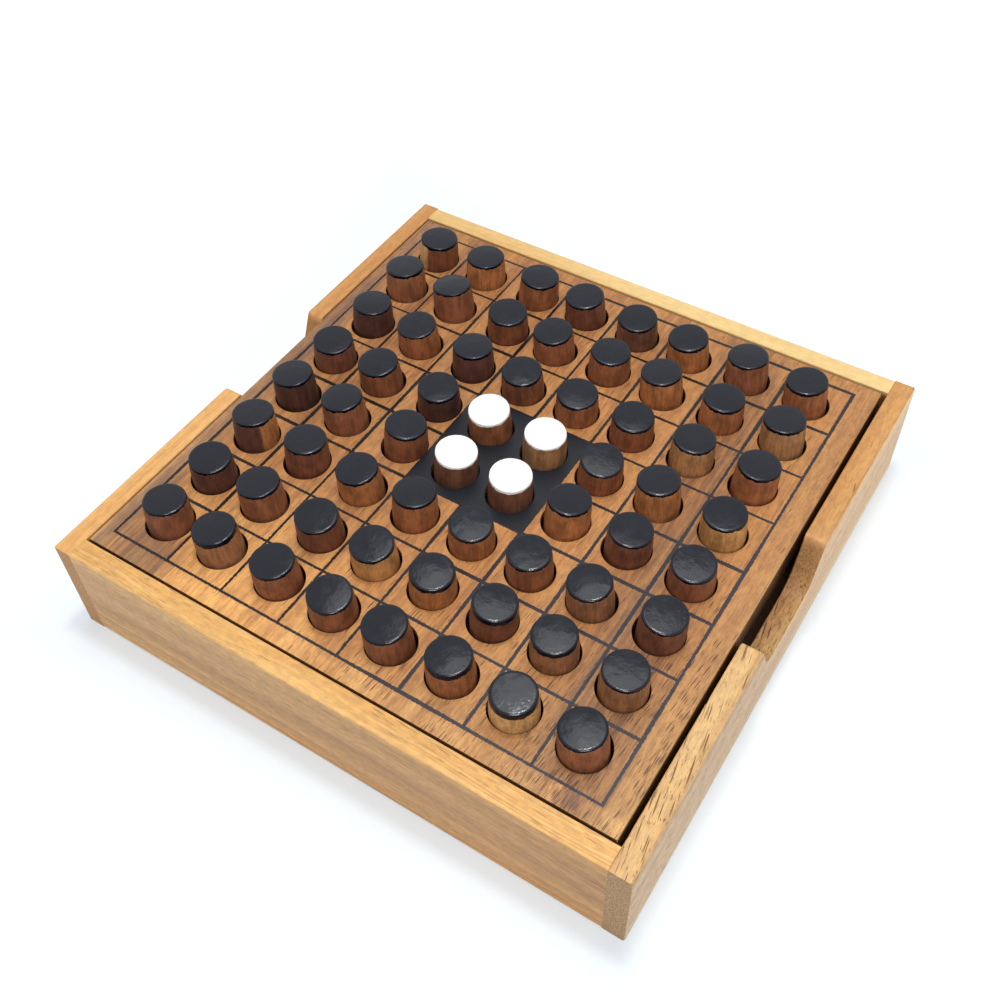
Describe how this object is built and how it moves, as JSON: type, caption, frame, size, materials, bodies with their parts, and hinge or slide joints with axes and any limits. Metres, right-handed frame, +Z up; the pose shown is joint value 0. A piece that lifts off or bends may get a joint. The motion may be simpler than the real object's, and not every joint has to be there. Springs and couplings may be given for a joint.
{
  "type": "peg reversi set",
  "caption": "Square wooden reversi set: an open box with finger notches, a lift-out board with blind holes on a painted grid, and two-coloured barrel pegs standing in them.",
  "frame": {"origin": "under the middle of the box, on the surface that it stands on", "axes": "+X along the front wall to the right, +Y from the front wall to the back wall, +Z up"},
  "size_m": [0.185, 0.1842, 0.0465],
  "materials": {
    "left_wall_wood": "satin oiled wood",
    "right_wall_wood": "satin oiled wood",
    "front_wall_wood": "satin oiled wood",
    "back_wall_wood": "satin oiled wood",
    "plywood": "plain unfinished plywood",
    "strip_wood": "plain sawn wood",
    "board_wood": "satin oiled wood with printed dark grid lines and a dark painted centre",
    "peg_wood": "satin wood, one end glossy black paint and the other end white paint"
  },
  "bodies": {
    "tray": {"notched_wall_left": "left_wall_wood", "notched_wall_right": "right_wall_wood", "plain_wall_front": "front_wall_wood", "plain_wall_back": "back_wall_wood", "base_panel": "plywood", "ledge_front": "strip_wood", "ledge_back": "strip_wood"},
    "board": {"playing_board": "board_wood"},
    "peg_a2": {"peg_a2": "peg_wood"},
    "peg_b2": {"peg_b2": "peg_wood"},
    "peg_c2": {"peg_c2": "peg_wood"},
    "peg_d2": {"peg_d2": "peg_wood"},
    "peg_e2": {"peg_e2": "peg_wood"},
    "peg_f2": {"peg_f2": "peg_wood"},
    "peg_g2": {"peg_g2": "peg_wood"},
    "peg_h2": {"peg_h2": "peg_wood"},
    "peg_a3": {"peg_a3": "peg_wood"},
    "peg_b3": {"peg_b3": "peg_wood"},
    "peg_c3": {"peg_c3": "peg_wood"},
    "peg_d3": {"peg_d3": "peg_wood"},
    "peg_e3": {"peg_e3": "peg_wood"},
    "peg_f3": {"peg_f3": "peg_wood"},
    "peg_g3": {"peg_g3": "peg_wood"},
    "peg_h3": {"peg_h3": "peg_wood"},
    "peg_a4": {"peg_a4": "peg_wood"},
    "peg_b4": {"peg_b4": "peg_wood"},
    "peg_c4": {"peg_c4": "peg_wood"},
    "peg_d4": {"peg_d4": "peg_wood"},
    "peg_e4": {"peg_e4": "peg_wood"},
    "peg_f4": {"peg_f4": "peg_wood"},
    "peg_g4": {"peg_g4": "peg_wood"},
    "peg_h4": {"peg_h4": "peg_wood"},
    "peg_a5": {"peg_a5": "peg_wood"},
    "peg_b5": {"peg_b5": "peg_wood"},
    "peg_c5": {"peg_c5": "peg_wood"},
    "peg_d5": {"peg_d5": "peg_wood"},
    "peg_e5": {"peg_e5": "peg_wood"},
    "peg_f5": {"peg_f5": "peg_wood"},
    "peg_g5": {"peg_g5": "peg_wood"},
    "peg_h5": {"peg_h5": "peg_wood"},
    "peg_a6": {"peg_a6": "peg_wood"},
    "peg_b6": {"peg_b6": "peg_wood"},
    "peg_c6": {"peg_c6": "peg_wood"},
    "peg_d6": {"peg_d6": "peg_wood"},
    "peg_e6": {"peg_e6": "peg_wood"},
    "peg_f6": {"peg_f6": "peg_wood"},
    "peg_g6": {"peg_g6": "peg_wood"},
    "peg_h6": {"peg_h6": "peg_wood"},
    "peg_a7": {"peg_a7": "peg_wood"},
    "peg_b7": {"peg_b7": "peg_wood"},
    "peg_c7": {"peg_c7": "peg_wood"},
    "peg_d7": {"peg_d7": "peg_wood"},
    "peg_e7": {"peg_e7": "peg_wood"},
    "peg_f7": {"peg_f7": "peg_wood"},
    "peg_g7": {"peg_g7": "peg_wood"},
    "peg_h7": {"peg_h7": "peg_wood"},
    "pegs_row_1": {"pegs_row_1": "peg_wood"},
    "pegs_row_8": {"pegs_row_8": "peg_wood"}
  },
  "joints": [
    {"name": "board_lift", "type": "slide", "parent": "tray", "child": "board", "axis": [0, 0, 1], "range_m": [0, 0.06]},
    {"name": "peg_a2_lift", "type": "slide", "parent": "board", "child": "peg_a2", "axis": [0, 0, 1], "range_m": [0, 0.03]},
    {"name": "peg_b2_lift", "type": "slide", "parent": "board", "child": "peg_b2", "axis": [0, 0, 1], "range_m": [0, 0.03]},
    {"name": "peg_c2_lift", "type": "slide", "parent": "board", "child": "peg_c2", "axis": [0, 0, 1], "range_m": [0, 0.03]},
    {"name": "peg_d2_lift", "type": "slide", "parent": "board", "child": "peg_d2", "axis": [0, 0, 1], "range_m": [0, 0.03]},
    {"name": "peg_e2_lift", "type": "slide", "parent": "board", "child": "peg_e2", "axis": [0, 0, 1], "range_m": [0, 0.03]},
    {"name": "peg_f2_lift", "type": "slide", "parent": "board", "child": "peg_f2", "axis": [0, 0, 1], "range_m": [0, 0.03]},
    {"name": "peg_g2_lift", "type": "slide", "parent": "board", "child": "peg_g2", "axis": [0, 0, 1], "range_m": [0, 0.03]},
    {"name": "peg_h2_lift", "type": "slide", "parent": "board", "child": "peg_h2", "axis": [0, 0, 1], "range_m": [0, 0.03]},
    {"name": "peg_a3_lift", "type": "slide", "parent": "board", "child": "peg_a3", "axis": [0, 0, 1], "range_m": [0, 0.03]},
    {"name": "peg_b3_lift", "type": "slide", "parent": "board", "child": "peg_b3", "axis": [0, 0, 1], "range_m": [0, 0.03]},
    {"name": "peg_c3_lift", "type": "slide", "parent": "board", "child": "peg_c3", "axis": [0, 0, 1], "range_m": [0, 0.03]},
    {"name": "peg_d3_lift", "type": "slide", "parent": "board", "child": "peg_d3", "axis": [0, 0, 1], "range_m": [0, 0.03]},
    {"name": "peg_e3_lift", "type": "slide", "parent": "board", "child": "peg_e3", "axis": [0, 0, 1], "range_m": [0, 0.03]},
    {"name": "peg_f3_lift", "type": "slide", "parent": "board", "child": "peg_f3", "axis": [0, 0, 1], "range_m": [0, 0.03]},
    {"name": "peg_g3_lift", "type": "slide", "parent": "board", "child": "peg_g3", "axis": [0, 0, 1], "range_m": [0, 0.03]},
    {"name": "peg_h3_lift", "type": "slide", "parent": "board", "child": "peg_h3", "axis": [0, 0, 1], "range_m": [0, 0.03]},
    {"name": "peg_a4_lift", "type": "slide", "parent": "board", "child": "peg_a4", "axis": [0, 0, 1], "range_m": [0, 0.03]},
    {"name": "peg_b4_lift", "type": "slide", "parent": "board", "child": "peg_b4", "axis": [0, 0, 1], "range_m": [0, 0.03]},
    {"name": "peg_c4_lift", "type": "slide", "parent": "board", "child": "peg_c4", "axis": [0, 0, 1], "range_m": [0, 0.03]},
    {"name": "peg_d4_lift", "type": "slide", "parent": "board", "child": "peg_d4", "axis": [0, 0, 1], "range_m": [0, 0.03]},
    {"name": "peg_e4_lift", "type": "slide", "parent": "board", "child": "peg_e4", "axis": [0, 0, 1], "range_m": [0, 0.03]},
    {"name": "peg_f4_lift", "type": "slide", "parent": "board", "child": "peg_f4", "axis": [0, 0, 1], "range_m": [0, 0.03]},
    {"name": "peg_g4_lift", "type": "slide", "parent": "board", "child": "peg_g4", "axis": [0, 0, 1], "range_m": [0, 0.03]},
    {"name": "peg_h4_lift", "type": "slide", "parent": "board", "child": "peg_h4", "axis": [0, 0, 1], "range_m": [0, 0.03]},
    {"name": "peg_a5_lift", "type": "slide", "parent": "board", "child": "peg_a5", "axis": [0, 0, 1], "range_m": [0, 0.03]},
    {"name": "peg_b5_lift", "type": "slide", "parent": "board", "child": "peg_b5", "axis": [0, 0, 1], "range_m": [0, 0.03]},
    {"name": "peg_c5_lift", "type": "slide", "parent": "board", "child": "peg_c5", "axis": [0, 0, 1], "range_m": [0, 0.03]},
    {"name": "peg_d5_lift", "type": "slide", "parent": "board", "child": "peg_d5", "axis": [0, 0, 1], "range_m": [0, 0.03]},
    {"name": "peg_e5_lift", "type": "slide", "parent": "board", "child": "peg_e5", "axis": [0, 0, 1], "range_m": [0, 0.03]},
    {"name": "peg_f5_lift", "type": "slide", "parent": "board", "child": "peg_f5", "axis": [0, 0, 1], "range_m": [0, 0.03]},
    {"name": "peg_g5_lift", "type": "slide", "parent": "board", "child": "peg_g5", "axis": [0, 0, 1], "range_m": [0, 0.03]},
    {"name": "peg_h5_lift", "type": "slide", "parent": "board", "child": "peg_h5", "axis": [0, 0, 1], "range_m": [0, 0.03]},
    {"name": "peg_a6_lift", "type": "slide", "parent": "board", "child": "peg_a6", "axis": [0, 0, 1], "range_m": [0, 0.03]},
    {"name": "peg_b6_lift", "type": "slide", "parent": "board", "child": "peg_b6", "axis": [0, 0, 1], "range_m": [0, 0.03]},
    {"name": "peg_c6_lift", "type": "slide", "parent": "board", "child": "peg_c6", "axis": [0, 0, 1], "range_m": [0, 0.03]},
    {"name": "peg_d6_lift", "type": "slide", "parent": "board", "child": "peg_d6", "axis": [0, 0, 1], "range_m": [0, 0.03]},
    {"name": "peg_e6_lift", "type": "slide", "parent": "board", "child": "peg_e6", "axis": [0, 0, 1], "range_m": [0, 0.03]},
    {"name": "peg_f6_lift", "type": "slide", "parent": "board", "child": "peg_f6", "axis": [0, 0, 1], "range_m": [0, 0.03]},
    {"name": "peg_g6_lift", "type": "slide", "parent": "board", "child": "peg_g6", "axis": [0, 0, 1], "range_m": [0, 0.03]},
    {"name": "peg_h6_lift", "type": "slide", "parent": "board", "child": "peg_h6", "axis": [0, 0, 1], "range_m": [0, 0.03]},
    {"name": "peg_a7_lift", "type": "slide", "parent": "board", "child": "peg_a7", "axis": [0, 0, 1], "range_m": [0, 0.03]},
    {"name": "peg_b7_lift", "type": "slide", "parent": "board", "child": "peg_b7", "axis": [0, 0, 1], "range_m": [0, 0.03]},
    {"name": "peg_c7_lift", "type": "slide", "parent": "board", "child": "peg_c7", "axis": [0, 0, 1], "range_m": [0, 0.03]},
    {"name": "peg_d7_lift", "type": "slide", "parent": "board", "child": "peg_d7", "axis": [0, 0, 1], "range_m": [0, 0.03]},
    {"name": "peg_e7_lift", "type": "slide", "parent": "board", "child": "peg_e7", "axis": [0, 0, 1], "range_m": [0, 0.03]},
    {"name": "peg_f7_lift", "type": "slide", "parent": "board", "child": "peg_f7", "axis": [0, 0, 1], "range_m": [0, 0.03]},
    {"name": "peg_g7_lift", "type": "slide", "parent": "board", "child": "peg_g7", "axis": [0, 0, 1], "range_m": [0, 0.03]},
    {"name": "peg_h7_lift", "type": "slide", "parent": "board", "child": "peg_h7", "axis": [0, 0, 1], "range_m": [0, 0.03]},
    {"name": "pegs_row_1_lift", "type": "slide", "parent": "board", "child": "pegs_row_1", "axis": [0, 0, 1], "range_m": [0, 0.03]},
    {"name": "pegs_row_8_lift", "type": "slide", "parent": "board", "child": "pegs_row_8", "axis": [0, 0, 1], "range_m": [0, 0.03]}
  ]
}
